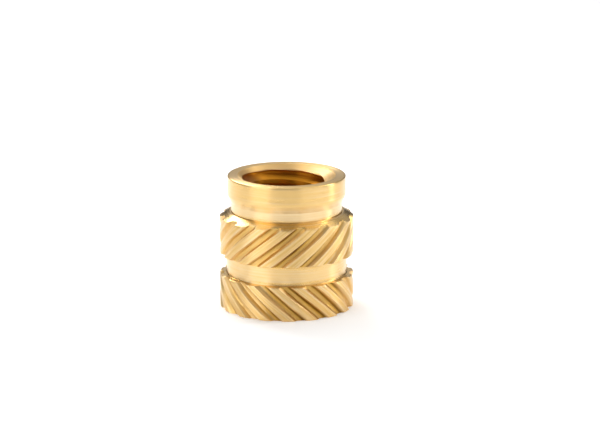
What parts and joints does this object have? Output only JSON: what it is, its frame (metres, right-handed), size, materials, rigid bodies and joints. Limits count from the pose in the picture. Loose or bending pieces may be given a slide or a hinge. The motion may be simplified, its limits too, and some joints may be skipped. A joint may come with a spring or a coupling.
{
  "type": "threaded insert",
  "caption": "Short brass insert with a threaded through hole, a smooth lip, a neck and raised bands of helical knurl grooves leaning opposite ways, for hot pressing into plastic.",
  "frame": {"origin": "on the thread axis at the foot face, the flat end of the lower knurl band", "axes": "+Z along the thread axis from the foot toward the smooth lip; +X and +Y across it, with -Y the side seen from the front"},
  "size_m": [0.006, 0.006, 0.006],
  "materials": {
    "brass": "bright, turned"
  },
  "bodies": {
    "root": {"insert": "brass"}
  },
  "joints": []
}
